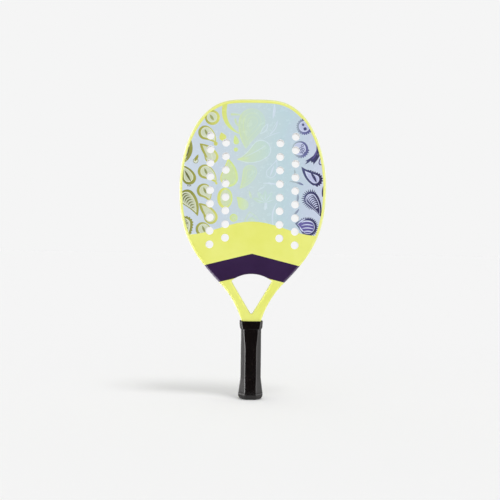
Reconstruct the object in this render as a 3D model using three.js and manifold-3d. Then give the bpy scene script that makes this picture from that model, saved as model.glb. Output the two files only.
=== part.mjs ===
import * as THREE from 'three';
import { mergeVertices } from 'three/addons/utils/BufferGeometryUtils.js';
import Module from 'manifold-3d';

// A beach tennis racket standing on its butt, in millimetres. X runs across the head, Y through
// its thickness with the front face towards -Y, and Z from the butt up to the crown.

// Overall sizes
const racketLength = 480;
const headWidth = 235;
const frameDepth = 20;
const frameWidth = 15;
const throatHalfAngle = THREE.MathUtils.degToRad(30.8);

// Clearances and cuts
const bondLine = 0.3;
const tapeGap = 0.1;
const collarGap = 0.2;
const cutOverrun = 2;

// Lengths that follow one another up from the butt
const gripLength = 112;
const collarLength = 13;
const throatPatchHeight = 8.8;
const throatHeight = 66.6;

// Frame tube: walls, rounded edges and the web where its two legs are moulded together
const tubeWall = 1.6;
const rimEdgeRadius = 4.5;
const legEdgeRadius = 4;
const headInnerRadius = 1.5;
const throatInnerRadius = 3.5;
const webEdgeRadius = 0.5;
const webOverlap = 0.6;
const cavityEdgeRadius = 1.5;
const cornerSteps = 2;
const edgeGrowthShare = 0.3;

// Outline of the right half, from the crown down to the leg: shares of the head's sizes, the heading
// in degrees below level, and how far each stretch pulls towards the headings at its two ends
const shoulderWidthShare = 0.655;
const shoulderHeightShare = 0.845;
const widestHeightShare = 0.492;
const armWidthShare = 0.4306;
const armHeightShare = 0.7673;
const crownHeading = 0;
const shoulderHeading = 44.25;
const sideHeading = 90;
const armHeading = 134.85;
const stretchPullShares = [[0.426, 0.393], [0.273, 0.392], [0.395, 0.426], [0.288, 0.347]];
const stretchSteps = [9, 8, 10, 16];
const sideStretch = 2;
const legStretch = 3;

// Bridge that closes the head above the throat opening
const bridgeRadius = 53;
const bridgeWidth = 12;
const bridgeSteps = 16;

// Faces, core and drilled holes
const skinThickness = 1;
const rimWidth = 4.8;
const holeDiameter = 12;
const holeSides = 16;
const holePitch = 21.7;
const holeEdgeWall = 1.5;
const crownHoleMargin = 59.3;
const throatHoleMargin = 46.7;
const sideHoleMargin = 49.4;
const columnSpacing = 24.7;

// Handle: eight-sided pallets, the frame's legs inside them and the grip over them
const palletHalfWidth = 14.4;
const palletHalfDepth = 12;
const palletBevel = 5.95;
const palletSideWall = 2.7;
const palletFaceWall = 3.2;
const palletTopBevel = 4.5;
const palletTopWall = 0.8;
const palletReach = 5;
const palletTaperLength = 8;
const legTaperLength = 21;
const legHeel = 4.4;
const gripThickness = 2;
const gripEndThickness = 1;

// Butt: rounded end, flange that the grip sits on, and the flare above it
const buttHalfWidth = 20.1;
const buttFlatHalfWidth = 11.5;
const buttEdgeHeight = 8;
const buttEdgeSteps = 5;
const flangeHeight = 2;
const flareSeat = 1;
const flareLength = 24;
const flareSteps = 2;
const capCupHeight = 14;
const capFloorHeight = 3.3;
const discRadius = 7;
const discThickness = 1.2;
const discSides = 32;

// Staples that pin the cap to the pallets
const stapleRise = 6;
const stapleSpan = 9;
const stapleWire = 0.8;
const stapleLegLength = 3.6;
const stapleDepth = 1;

// Collar and the tape under it
const collarLip = 0.8;
const collarTopWall = 2.4;
const tapeThickness = 0.25;
const tapeMargin = 1;

// Heights worked out from the lengths above
const collarBottomHeight = gripLength;
const collarTopHeight = collarBottomHeight + collarLength;
const throatTipHeight = collarTopHeight + throatPatchHeight;
const throatTopHeight = throatTipHeight + throatHeight;
const palletBottomHeight = capFloorHeight + bondLine;
const palletTopHeight = collarBottomHeight + palletReach;
const palletStraightHeight = palletTopHeight - palletTaperLength;
const legBottomHeight = palletBottomHeight + legHeel;
const legTopHeight = palletTopHeight - legTaperLength;
const flangeTopHeight = buttEdgeHeight + flangeHeight;
const flareBottomHeight = flangeTopHeight + flareSeat;
const flareTopHeight = flareBottomHeight + flareLength;
const capTopHeight = flangeTopHeight + capCupHeight;
const stapleHeight = flangeTopHeight + stapleRise;

// Other sizes worked out from the ones above; a bevel grows by this share of its section's growth
const headHalfWidth = headWidth / 2;
const halfDepth = frameDepth / 2;
const legHalfWidth = palletHalfWidth - palletSideWall - bondLine;
const legHalfDepth = palletHalfDepth - palletFaceWall - bondLine;
const skinSeatDepth = halfDepth - skinThickness - bondLine;
const bridgeCentre = new THREE.Vector2(0, throatTopHeight - bridgeRadius);
const bridgeMiddleRadius = bridgeRadius + bridgeWidth / 2;
const gripGrowth = bondLine + gripThickness;
const bevelGrowthShare = 2 - Math.SQRT2;

const wasm = await Module();
wasm.setup();

// Closed geometry to a solid that can be joined and cut, and back again
function solidOf(geometry) {
  const bare = geometry.index ? geometry.toNonIndexed() : geometry.clone();
  bare.deleteAttribute('normal');
  bare.deleteAttribute('uv');
  const merged = mergeVertices(bare);
  return new wasm.Manifold(new wasm.Mesh({
    numProp: 3,
    vertProperties: new Float32Array(merged.attributes.position.array),
    triVerts: new Uint32Array(merged.index.array),
  }));
}

function geometryOf(solid) {
  const mesh = solid.getMesh();
  const geometry = new THREE.BufferGeometry();
  geometry.setAttribute('position', new THREE.BufferAttribute(mesh.vertProperties, 3));
  geometry.setIndex(new THREE.BufferAttribute(mesh.triVerts, 1));
  return geometry;
}

function geometryFrom(vertices, triangles) {
  const geometry = new THREE.BufferGeometry().setFromPoints(vertices);
  geometry.setIndex(triangles);
  return geometry;
}

// Values spread evenly from one to another, both included
function evenlyFrom(from, to, steps) {
  return Array.from({ length: steps + 1 }, (_, i) => THREE.MathUtils.lerp(from, to, i / steps));
}

// Bands of two triangles between rings of points that lie in order along a path
function addBands(rings, vertices, triangles, inwards) {
  const start = vertices.length;
  const count = rings[0].length;
  rings.forEach((ring) => vertices.push(...ring));
  for (let row = 0; row + 1 < rings.length; row += 1) {
    for (let i = 0; i < count; i += 1) {
      const a = start + row * count + i;
      const b = start + row * count + (i + 1) % count;
      const c = a + count;
      const d = b + count;
      triangles.push(...(inwards ? [a, d, b, a, c, d] : [a, b, d, a, d, c]));
    }
  }
  return start;
}

// A solid through rings of points, its two ends closed
function solidLoft(rings) {
  const vertices = [];
  const triangles = [];
  const count = rings[0].length;
  addBands(rings, vertices, triangles, false);
  const last = (rings.length - 1) * count;
  for (let i = 1; i + 1 < count; i += 1) {
    triangles.push(0, i + 1, i, last, last + i, last + i + 1);
  }
  return geometryFrom(vertices, triangles);
}

// A sleeve between an outer and an inner run of rings, its rims closed and its bore left open
function hollowLoft(outerRings, innerRings) {
  const vertices = [];
  const triangles = [];
  const count = outerRings[0].length;
  const outer = addBands(outerRings, vertices, triangles, false);
  const inner = addBands(innerRings, vertices, triangles, true);
  const outerEnd = outer + (outerRings.length - 1) * count;
  const innerEnd = inner + (innerRings.length - 1) * count;
  for (let i = 0; i < count; i += 1) {
    const next = (i + 1) % count;
    triangles.push(outer + i, inner + next, outer + next, outer + i, inner + i, inner + next);
    triangles.push(outerEnd + i, outerEnd + next, innerEnd + next);
    triangles.push(outerEnd + i, innerEnd + next, innerEnd + i);
  }
  return geometryFrom(vertices, triangles);
}

// The same closed geometry on the other side of the racket's middle plane
function mirrored(geometry) {
  const copy = geometry.clone().scale(-1, 1, 1);
  const order = Array.from(geometry.index.array);
  for (let i = 0; i < order.length; i += 3) {
    [order[i], order[i + 1]] = [order[i + 1], order[i]];
  }
  copy.setIndex(order);
  return copy;
}

// Outline knots of the right half: where it passes, and which way it heads there
const widestHeight = THREE.MathUtils.lerp(throatTopHeight, racketLength, widestHeightShare);
const outlineKnots = [
  { across: 0, height: racketLength, heading: crownHeading },
  {
    across: headHalfWidth * shoulderWidthShare,
    height: THREE.MathUtils.lerp(widestHeight, racketLength, shoulderHeightShare),
    heading: shoulderHeading,
  },
  { across: headHalfWidth, height: widestHeight, heading: sideHeading },
  {
    across: headHalfWidth * armWidthShare,
    height: THREE.MathUtils.lerp(throatTipHeight, throatTopHeight, armHeightShare),
    heading: armHeading,
  },
  { across: legHalfWidth, height: legTopHeight, heading: sideHeading },
];

function headingVector(degrees) {
  const angle = THREE.MathUtils.degToRad(degrees);
  return new THREE.Vector2(Math.cos(angle), -Math.sin(angle));
}

function outlineStretch(index) {
  const [from, to] = [outlineKnots[index], outlineKnots[index + 1]];
  const [startShare, endShare] = stretchPullShares[index];
  const start = new THREE.Vector2(from.across, from.height);
  const end = new THREE.Vector2(to.across, to.height);
  const chord = start.distanceTo(end);
  const startPull = headingVector(from.heading).multiplyScalar(chord * startShare);
  const endPull = headingVector(to.heading).multiplyScalar(-chord * endShare);
  return new THREE.CubicBezierCurve(start, start.clone().add(startPull), end.clone().add(endPull), end);
}

// How far in from the outline the throat opening, or the web between the legs, begins
function reachToThroat(point, inward) {
  const slope = Math.tan(throatHalfAngle);
  const side = point.x - slope * (point.y - throatTipHeight);
  const toOpening = side / (slope * inward.y - inward.x);
  const toWeb = (point.x + webOverlap) / -inward.x;
  return Math.min(toOpening, toWeb);
}

function tubeWidthAt(stretch, share, point, inward) {
  if (stretch < sideStretch) return frameWidth;
  if (stretch === legStretch) return reachToThroat(point, inward);
  const knot = outlineKnots[legStretch];
  const armInward = headingVector(knot.heading).rotateAround(new THREE.Vector2(), -Math.PI / 2);
  const armWidth = reachToThroat(new THREE.Vector2(knot.across, knot.height), armInward);
  return THREE.MathUtils.lerp(frameWidth, armWidth, THREE.MathUtils.smoothstep(share, 0, 1));
}

function innerRadiusAt(stretch, share, innerHeight) {
  if (stretch < sideStretch) return headInnerRadius;
  if (stretch === sideStretch) return THREE.MathUtils.lerp(headInnerRadius, throatInnerRadius, share);
  const above = Math.max(0, innerHeight - throatTipHeight);
  return Math.min(throatInnerRadius, webEdgeRadius + above * edgeGrowthShare);
}

// One station of the frame tube: its outline point, the way inwards and the section there
function stationAt(stretch, curve, share) {
  const point = curve.getPoint(share);
  const inward = curve.getTangent(share).rotateAround(new THREE.Vector2(), -Math.PI / 2);
  const width = tubeWidthAt(stretch, share, point, inward);
  const inHandle = 1 - THREE.MathUtils.smoothstep(point.y, legTopHeight, collarTopHeight);
  return {
    point,
    inward,
    width,
    halfDepth: THREE.MathUtils.lerp(halfDepth, legHalfDepth, inHandle),
    outerRadius: THREE.MathUtils.lerp(rimEdgeRadius, legEdgeRadius, inHandle),
    innerRadius: innerRadiusAt(stretch, share, point.y + inward.y * width),
  };
}

function outlineStations() {
  const stations = [];
  stretchSteps.forEach((steps, stretch) => {
    const curve = outlineStretch(stretch);
    for (let i = stretch === 0 ? 0 : 1; i <= steps; i += 1) {
      stations.push(stationAt(stretch, curve, i / steps));
    }
  });
  const leg = stations[stations.length - 1];
  stations.push({ ...leg, point: new THREE.Vector2(leg.point.x, legBottomHeight) });
  return stations;
}

const stations = outlineStations();

function insetPoint(station, inset) {
  return station.point.clone().addScaledVector(station.inward, inset);
}

function halfWidthAt(height) {
  const i = stations.findIndex((station) => station.point.y <= height);
  const [above, below] = [stations[i - 1].point, stations[i].point];
  return THREE.MathUtils.mapLinear(height, above.y, below.y, above.x, below.x);
}

// Rounded section of the tube, as distances in from the outline and places through the thickness
function tubeSection(start, end, halfDeep, outerRadius, innerRadius) {
  const corners = [
    { u: start + outerRadius, y: -halfDeep + outerRadius, radius: outerRadius, from: Math.PI },
    { u: end - innerRadius, y: -halfDeep + innerRadius, radius: innerRadius, from: 3 * Math.PI / 2 },
    { u: end - innerRadius, y: halfDeep - innerRadius, radius: innerRadius, from: 0 },
    { u: start + outerRadius, y: halfDeep - outerRadius, radius: outerRadius, from: Math.PI / 2 },
  ];
  return corners.flatMap(({ u, y, radius, from }) => evenlyFrom(from, from + Math.PI / 2, cornerSteps)
    .map((angle) => ({ u: u + radius * Math.cos(angle), y: y + radius * Math.sin(angle) })));
}

function tubeRing(station, section) {
  return section.map(({ u, y }) => {
    const place = insetPoint(station, u);
    return new THREE.Vector3(place.x, y, place.y);
  });
}

function outerTubeRing(station, growth) {
  const section = tubeSection(
    -growth,
    station.width + growth,
    station.halfDepth + growth,
    station.outerRadius + growth,
    station.innerRadius + growth,
  );
  return tubeRing(station, section);
}

function cavityRing(station) {
  const deep = Math.min(skinSeatDepth, station.halfDepth) - tubeWall;
  const end = station.width - tubeWall;
  return tubeRing(station, tubeSection(tubeWall, end, deep, cavityEdgeRadius, cavityEdgeRadius));
}

// Everything that the frame fills, grown by the bond line, to cut what is glued to it
function frameEnvelope() {
  const foot = stations[stations.length - 1];
  const lower = { ...foot, point: new THREE.Vector2(foot.point.x, -cutOverrun) };
  const half = solidLoft([...stations, lower].map((station) => outerTubeRing(station, bondLine)));
  return solidOf(half).add(solidOf(mirrored(half)));
}

// A point of the bridge's arc, at an angle above level and a distance from its centre
function bridgePoint(angle, distance) {
  return new THREE.Vector2(Math.cos(angle), Math.sin(angle)).multiplyScalar(distance).add(bridgeCentre);
}

// Closed loop round the head at an inset from the outline, its lower end on a circle of the bridge
function headLoop(insetOf, floorRadius) {
  const side = [];
  let before = null;
  for (const station of stations) {
    const place = insetPoint(station, insetOf(station));
    const reach = place.distanceTo(bridgeCentre);
    if (reach < floorRadius) {
      const share = (before.reach - floorRadius) / (before.reach - reach);
      side.push(before.place.clone().lerp(place, share));
      break;
    }
    side.push(place);
    before = { place, reach };
  }
  const corner = side[side.length - 1].clone().sub(bridgeCentre).angle();
  const floor = [];
  for (let i = 1; i < bridgeSteps; i += 1) {
    floor.push(bridgePoint(THREE.MathUtils.lerp(corner, Math.PI - corner, i / bridgeSteps), floorRadius));
  }
  const otherSide = side.slice(1).map((place) => new THREE.Vector2(-place.x, place.y)).reverse();
  return [...side, ...floor, ...otherSide];
}

function distanceToEdge(point, from, to) {
  const along = to.clone().sub(from);
  const share = point.clone().sub(from).dot(along) / along.lengthSq();
  return point.distanceTo(from.clone().addScaledVector(along, THREE.MathUtils.clamp(share, 0, 1)));
}

// Whether a drilled hole lies inside the core's edge with a wall left beside it
function clearsEdge(centre, loop) {
  const reach = holeDiameter / 2 + holeEdgeWall;
  const clear = loop.every((from, i) => distanceToEdge(centre, from, loop[(i + 1) % loop.length]) >= reach);
  return clear && Math.abs(centre.x) < halfWidthAt(centre.y);
}

// Drilled holes: two outer columns, and two inner ones with a hole less, half a pitch higher
function holeCentres() {
  const lowest = throatTopHeight + throatHoleMargin;
  const highest = racketLength - crownHoleMargin;
  const pitches = Math.round((highest - lowest) / holePitch);
  const outerColumn = headHalfWidth - sideHoleMargin;
  const centres = [];
  for (const side of [-1, 1]) {
    for (let i = 0; i <= pitches; i += 1) {
      centres.push(new THREE.Vector2(side * outerColumn, lowest + i * holePitch));
    }
    for (let i = 0; i < pitches; i += 1) {
      const height = lowest + i * holePitch + holePitch / 2;
      centres.push(new THREE.Vector2(side * (outerColumn - columnSpacing), height));
    }
  }
  return centres;
}

function circlePath(centre, radius, sides) {
  const points = [];
  for (let i = 0; i < sides; i += 1) {
    const angle = i * 2 * Math.PI / sides;
    points.push(new THREE.Vector2(radius * Math.cos(angle), radius * Math.sin(angle)).add(centre));
  }
  return new THREE.Path(points);
}

const coreLoop = headLoop((station) => station.width + bondLine, bridgeRadius + bridgeWidth + bondLine);
const holes = holeCentres().filter((centre) => clearsEdge(centre, coreLoop));

// A drilled slab with the head's loop as its edge, drawn flat and stood up by its mesh
function drilledSlab(loop, thickness) {
  const shape = new THREE.Shape(loop);
  shape.holes = holes.map((centre) => circlePath(centre, holeDiameter / 2, holeSides));
  return new THREE.ExtrudeGeometry(shape, { depth: thickness, bevelEnabled: false });
}

// The seats that the frame and the bridge give to the two faces
function skinSeats() {
  const loop = headLoop(() => rimWidth - bondLine, bridgeMiddleRadius - bondLine);
  const depth = skinThickness + bondLine + cutOverrun;
  const front = new THREE.ExtrudeGeometry(new THREE.Shape(loop), { depth, bevelEnabled: false });
  front.rotateX(Math.PI / 2);
  const back = front.clone().translate(0, skinSeatDepth + depth, 0);
  front.translate(0, -skinSeatDepth, 0);
  return solidOf(front).add(solidOf(back));
}

// Frame tube: two hollow halves that meet at the crown and in the web between the legs
function frameTubeGeometry() {
  const outer = stations.map((station) => outerTubeRing(station, 0));
  const cavity = stations.map(cavityRing);
  const half = hollowLoft(outer, cavity);
  return geometryOf(solidOf(half).add(solidOf(mirrored(half))).subtract(skinSeats()));
}

// Bridge: a hollow arc between the two arms, its ends shaped to their sides
function bridgeGeometry() {
  const middle = headLoop(() => frameWidth / 2, bridgeMiddleRadius);
  const corner = middle.find((place) => place.distanceTo(bridgeCentre) < bridgeMiddleRadius + tubeWall);
  const end = corner.clone().sub(bridgeCentre).angle();
  const arcRing = (angle, start, finish, deep, radius) => {
    const point = bridgePoint(angle, bridgeRadius);
    const station = { point, inward: point.clone().sub(bridgeCentre).normalize() };
    return tubeRing(station, tubeSection(start, finish, deep, radius, headInnerRadius));
  };
  const outer = [];
  const cavity = [];
  for (let i = 0; i <= bridgeSteps; i += 1) {
    const angle = THREE.MathUtils.lerp(end, Math.PI - end, i / bridgeSteps);
    outer.push(arcRing(angle, 0, bridgeWidth, halfDepth, throatInnerRadius));
    const deep = skinSeatDepth - tubeWall;
    cavity.push(arcRing(angle, tubeWall, bridgeWidth - tubeWall, deep, cavityEdgeRadius));
  }
  const arc = solidOf(hollowLoft(outer, cavity));
  return geometryOf(arc.subtract(frameEnvelope()).subtract(skinSeats()));
}

// Eight-sided sections of the handle
const palletSection = { halfWidth: palletHalfWidth, halfDepth: palletHalfDepth, bevel: palletBevel };
const palletTopSection = {
  halfWidth: halfWidthAt(palletTopHeight) + bondLine + palletTopWall,
  halfDepth: palletHalfDepth,
  bevel: palletTopBevel,
};

function grown(section, growth) {
  return {
    halfWidth: section.halfWidth + growth,
    halfDepth: section.halfDepth + growth,
    bevel: section.bevel + growth * bevelGrowthShare,
  };
}

function flared(section, extra) {
  return {
    halfWidth: section.halfWidth + extra,
    halfDepth: section.halfDepth + extra,
    bevel: section.bevel + extra,
  };
}

function between(from, to, share) {
  return {
    halfWidth: THREE.MathUtils.lerp(from.halfWidth, to.halfWidth, share),
    halfDepth: THREE.MathUtils.lerp(from.halfDepth, to.halfDepth, share),
    bevel: THREE.MathUtils.lerp(from.bevel, to.bevel, share),
  };
}

function eightSidedRing({ halfWidth, halfDepth: deep, bevel }, height) {
  const flatX = halfWidth - bevel;
  const flatY = deep - bevel;
  const corners = [
    [halfWidth, -flatY], [halfWidth, flatY], [flatX, deep], [-flatX, deep],
    [-halfWidth, flatY], [-halfWidth, -flatY], [-flatX, -deep], [flatX, -deep],
  ];
  return corners.map(([x, y]) => new THREE.Vector3(x, y, height));
}

function palletSectionAt(height) {
  const share = Math.max(0, (height - palletStraightHeight) / (palletTopHeight - palletStraightHeight));
  return between(palletSection, palletTopSection, share);
}

// How far the butt's flare stands out from the straight handle
const flareReach = buttHalfWidth - palletHalfWidth - gripGrowth;

function flareAt(height) {
  const share = THREE.MathUtils.inverseLerp(flareBottomHeight, flareTopHeight, height);
  return flareReach * (1 - THREE.MathUtils.clamp(share, 0, 1));
}

function gripSectionAt(height) {
  return flared(grown(palletSectionAt(height), gripGrowth), flareAt(height));
}

function capSectionAt(height) {
  return grown(gripSectionAt(height), -gripGrowth);
}

// Pallet halves: the eight-sided handle split along its middle and bored for the frame's legs
function palletGeometry(side) {
  const rings = [palletBottomHeight, palletStraightHeight, palletTopHeight];
  const whole = solidLoft(rings.map((height) => eightSidedRing(palletSectionAt(height), height)));
  const boxWidth = 2 * (palletTopSection.halfWidth + cutOverrun);
  const boxDepth = palletHalfDepth + cutOverrun;
  const boxHeight = palletTopHeight + cutOverrun;
  const box = new THREE.BoxGeometry(boxWidth, boxDepth, boxHeight);
  box.translate(0, side * (boxDepth + bondLine) / 2, boxHeight / 2);
  return geometryOf(solidOf(whole).intersect(solidOf(box)).subtract(frameEnvelope()).subtract(stapleCuts()));
}

// Butt cap: a cup over the pallets' end, with a flange, a rounded end and a recess for its disc
function capSideRings() {
  const rings = [];
  const corner = buttHalfWidth - buttFlatHalfWidth;
  for (let i = 0; i <= buttEdgeSteps; i += 1) {
    const angle = i / buttEdgeSteps * Math.PI / 2;
    const extra = flareReach - corner * (1 - Math.sin(angle));
    const section = flared(grown(palletSection, gripGrowth), extra);
    rings.push(eightSidedRing(section, buttEdgeHeight * (1 - Math.cos(angle))));
  }
  rings.push(eightSidedRing(gripSectionAt(flangeTopHeight), flangeTopHeight));
  for (const height of evenlyFrom(flangeTopHeight, capTopHeight, flareSteps)) {
    rings.push(eightSidedRing(capSectionAt(height), height));
  }
  return rings;
}

function buttCapGeometry() {
  const bore = grown(palletSection, bondLine);
  const boreTop = capTopHeight + cutOverrun;
  const cup = solidLoft([eightSidedRing(bore, capFloorHeight), eightSidedRing(bore, boreTop)]);
  const recessDepth = discThickness + bondLine;
  const recess = discGeometry(discRadius + bondLine, recessDepth + cutOverrun);
  recess.translate(0, 0, -cutOverrun);
  const cap = solidOf(solidLoft(capSideRings())).subtract(solidOf(cup)).subtract(solidOf(recess));
  return geometryOf(cap.subtract(stapleCuts()));
}

function discGeometry(radius, thickness) {
  const shape = new THREE.Shape(circlePath(new THREE.Vector2(), radius, discSides).getPoints());
  return new THREE.ExtrudeGeometry(shape, { depth: thickness, bevelEnabled: false });
}

// Staples: a crown along Y and two legs towards the middle, lying in a slot grown by the bond line
const stapleCrownX = capSectionAt(stapleHeight).halfWidth - stapleDepth;

function stapleGeometry(growth, crownRise) {
  const half = stapleSpan / 2 + growth;
  const legInside = stapleSpan / 2 - stapleWire - growth;
  const shape = new THREE.Shape([
    new THREE.Vector2(stapleWire + crownRise, -half),
    new THREE.Vector2(stapleWire + crownRise, half),
    new THREE.Vector2(-stapleLegLength - growth, half),
    new THREE.Vector2(-stapleLegLength - growth, legInside),
    new THREE.Vector2(-growth, legInside),
    new THREE.Vector2(-growth, -legInside),
    new THREE.Vector2(-stapleLegLength - growth, -legInside),
    new THREE.Vector2(-stapleLegLength - growth, -half),
  ]);
  const depth = stapleWire + 2 * growth;
  return new THREE.ExtrudeGeometry(shape, { depth, bevelEnabled: false }).translate(0, 0, -depth / 2);
}

function stapleCuts() {
  const right = stapleGeometry(bondLine, stapleDepth + cutOverrun);
  right.translate(stapleCrownX, 0, stapleHeight);
  const left = right.clone().rotateZ(Math.PI);
  return solidOf(right).add(solidOf(left));
}

// Grip: a padded sleeve from the cap's flange to the top of the pallets, thin at its upper end
function gripOuterRings() {
  const seat = flangeTopHeight + bondLine;
  const heights = [
    seat,
    ...evenlyFrom(flareBottomHeight, flareTopHeight, flareSteps),
    palletStraightHeight,
    collarBottomHeight - collarGap,
  ];
  return heights.map((height) => eightSidedRing(gripSectionAt(height), height));
}

function gripEndSectionAt(height) {
  return grown(palletSectionAt(height), bondLine + gripEndThickness);
}

function gripGeometry() {
  const seat = flangeTopHeight + bondLine;
  const ledge = capTopHeight + bondLine;
  const outer = gripOuterRings();
  for (const height of [collarBottomHeight, palletTopHeight]) {
    outer.push(eightSidedRing(gripEndSectionAt(height), height));
  }
  const inner = evenlyFrom(flangeTopHeight, capTopHeight, flareSteps).slice(1)
    .map((height) => eightSidedRing(grown(capSectionAt(height), bondLine), height));
  inner.unshift(eightSidedRing(grown(capSectionAt(flangeTopHeight), bondLine), seat));
  inner.push(eightSidedRing(grown(capSectionAt(capTopHeight), bondLine), ledge));
  for (const height of [ledge, palletStraightHeight, palletTopHeight]) {
    inner.push(eightSidedRing(grown(palletSectionAt(height), bondLine), height));
  }
  return hollowLoft(outer, inner);
}

function sleeveOver(heights, innerOf, wallOf) {
  const outer = heights.map((height) => eightSidedRing(grown(innerOf(height), wallOf(height)), height));
  const inner = heights.map((height) => eightSidedRing(innerOf(height), height));
  return hollowLoft(outer, inner);
}

// Tape that finishes the grip's upper end
function tapeGeometry() {
  const heights = [collarBottomHeight + tapeMargin, palletTopHeight];
  return sleeveOver(heights, (height) => grown(gripEndSectionAt(height), tapeGap), () => tapeThickness);
}

// Collar: a rubber sleeve that grips the tape below and the frame's two legs above
function collarGeometry() {
  const overTape = tapeGap + tapeThickness + collarGap;
  const frameSection = {
    halfWidth: halfWidthAt(collarTopHeight),
    halfDepth,
    bevel: rimEdgeRadius * bevelGrowthShare,
  };
  const shoulder = palletTopHeight + tapeMargin;
  const innerOf = (height) => (height > shoulder
    ? grown(frameSection, bondLine)
    : grown(gripEndSectionAt(Math.min(height, palletTopHeight)), overTape));
  const wallOf = (height) => (height > shoulder ? collarTopWall : collarLip);
  return sleeveOver([collarBottomHeight, shoulder, collarTopHeight], innerOf, wallOf);
}

// Finishes
const yellowLacquer = { color: 0xe7ea80, roughness: 0.35, metalness: 0 };
const printedFace = { color: 0xc8dadd, roughness: 0.4, metalness: 0 };
const whiteFoam = { color: 0xf4f2ee, roughness: 0.9, metalness: 0 };
const blackGrip = { color: 0x1d1b1c, roughness: 0.75, metalness: 0 };
const blackRubber = { color: 0x151314, roughness: 0.6, metalness: 0 };
const blackPlastic = { color: 0x1a1a1b, roughness: 0.5, metalness: 0 };
const palletFoam = { color: 0x8e8a80, roughness: 0.85, metalness: 0 };
const blackTape = { color: 0x262425, roughness: 0.5, metalness: 0 };
const steelWire = { color: 0xb9bcc0, roughness: 0.3, metalness: 1 };

function piece(name, geometry, finish) {
  const mesh = new THREE.Mesh(geometry, new THREE.MeshStandardMaterial(finish));
  mesh.name = name;
  return mesh;
}

// A slab drawn in the plane of the outline, stood up with its front at a place through the thickness
function standingSlab(name, loop, thickness, backPlace, finish) {
  const mesh = piece(name, drilledSlab(loop, thickness), finish);
  mesh.rotation.x = Math.PI / 2;
  mesh.position.y = backPlace;
  return mesh;
}

function headGroup() {
  const skinLoop = headLoop(() => rimWidth, bridgeMiddleRadius);
  const head = new THREE.Group();
  head.add(
    piece('frame_tube', frameTubeGeometry(), yellowLacquer),
    piece('throat_bridge', bridgeGeometry(), yellowLacquer),
    standingSlab('eva_core', coreLoop, 2 * skinSeatDepth, skinSeatDepth, whiteFoam),
    standingSlab('front_face', skinLoop, skinThickness, -halfDepth + skinThickness, printedFace),
    standingSlab('back_face', skinLoop, skinThickness, halfDepth, printedFace),
  );
  return head;
}

function staplePiece(name, turn) {
  const mesh = piece(name, stapleGeometry(0, 0), steelWire);
  mesh.position.set(stapleCrownX * Math.cos(turn), 0, stapleHeight);
  mesh.rotation.z = turn;
  return mesh;
}

function handleGroup() {
  const handle = new THREE.Group();
  handle.add(
    piece('pallet_front', palletGeometry(-1), palletFoam),
    piece('pallet_back', palletGeometry(1), palletFoam),
    piece('butt_cap', buttCapGeometry(), blackPlastic),
    piece('butt_disc', discGeometry(discRadius, discThickness), blackPlastic),
    staplePiece('staple_right', 0),
    staplePiece('staple_left', Math.PI),
    piece('cushion_grip', gripGeometry(), blackGrip),
    piece('finishing_tape', tapeGeometry(), blackTape),
    piece('grip_collar', collarGeometry(), blackRubber),
  );
  return handle;
}

const racket = new THREE.Group();
racket.add(headGroup(), handleGroup());

export default racket;
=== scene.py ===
import math
from collections import namedtuple

import bmesh
import bpy
from mathutils import Matrix, Vector
from mathutils.geometry import delaunay_2d_cdt


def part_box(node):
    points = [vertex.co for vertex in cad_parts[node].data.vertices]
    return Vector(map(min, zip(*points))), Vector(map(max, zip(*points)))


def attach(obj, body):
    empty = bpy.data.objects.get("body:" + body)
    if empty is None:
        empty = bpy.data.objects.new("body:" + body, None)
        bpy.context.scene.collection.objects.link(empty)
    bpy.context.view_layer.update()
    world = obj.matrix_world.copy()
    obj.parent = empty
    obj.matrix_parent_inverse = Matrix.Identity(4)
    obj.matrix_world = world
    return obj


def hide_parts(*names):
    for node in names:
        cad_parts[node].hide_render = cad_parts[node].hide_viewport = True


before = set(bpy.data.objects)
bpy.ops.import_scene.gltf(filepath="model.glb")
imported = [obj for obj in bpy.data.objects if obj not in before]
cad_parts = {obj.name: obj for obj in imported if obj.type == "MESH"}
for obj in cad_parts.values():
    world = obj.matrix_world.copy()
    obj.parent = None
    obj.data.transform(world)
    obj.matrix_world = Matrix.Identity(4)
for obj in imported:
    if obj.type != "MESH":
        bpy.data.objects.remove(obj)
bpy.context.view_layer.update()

# A beach tennis racket standing on its butt. The CAD frame gives the sizes and places; this script
# makes the painted head, its print, the drilled foam, the grip, the collar and the butt, in metres.
# X runs across the head, Y through its thickness with the front towards -Y, and Z up.

MM = 0.001

# Sizes taken from the frame
tube_low, tube_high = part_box("frame_tube")
bridge_low, bridge_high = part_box("throat_bridge")
_, skin_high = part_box("front_face")
_, core_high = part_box("eva_core")
grip_low, grip_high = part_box("cushion_grip")
collar_low, collar_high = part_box("grip_collar")
_, cap_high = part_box("butt_cap")
_, disc_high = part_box("butt_disc")
pallet_low, pallet_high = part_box("pallet_front")
head_half_width = tube_high.x
racket_length = tube_high.z
head_half_depth = tube_high.y
leg_bottom = tube_low.z
rim_width = head_half_width - skin_high.x
seat_depth = core_high.y
collar_bottom = collar_low.z
collar_top = collar_high.z

# Frame: widths, edge radii and the places that shape its outline
BRIDGE_WIDTH = 12 * MM
BRIDGE_RADIUS = 53 * MM
FRAME_WIDTH = 15 * MM
RIM_EDGE_RADIUS = 4.5 * MM
LEG_EDGE_RADIUS = 4 * MM
THROAT_EDGE_RADIUS = 3.5 * MM
TIP_EDGE_RADIUS = 0.6 * MM
TIP_EDGE_REACH = 30 * MM
THROAT_HEIGHT = 66.6 * MM
THROAT_HALF_ANGLE = math.radians(30.8)
THROAT_CORNER_RADIUS = 3.2 * MM
THROAT_TIP_RADIUS = 2.3 * MM
LEG_HALF_WIDTH = 11.4 * MM
LEG_HALF_DEPTH = 8.5 * MM
LEG_TAPER = 21 * MM
BOND_LINE = 0.3 * MM
WIDEST_SHARE = 0.492


def mix(a, b, share):
    return a + (b - a) * share


def unit(angle):
    return Vector((math.cos(angle), math.sin(angle)))


def shares(steps):
    return [i / steps for i in range(steps + 1)]


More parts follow.
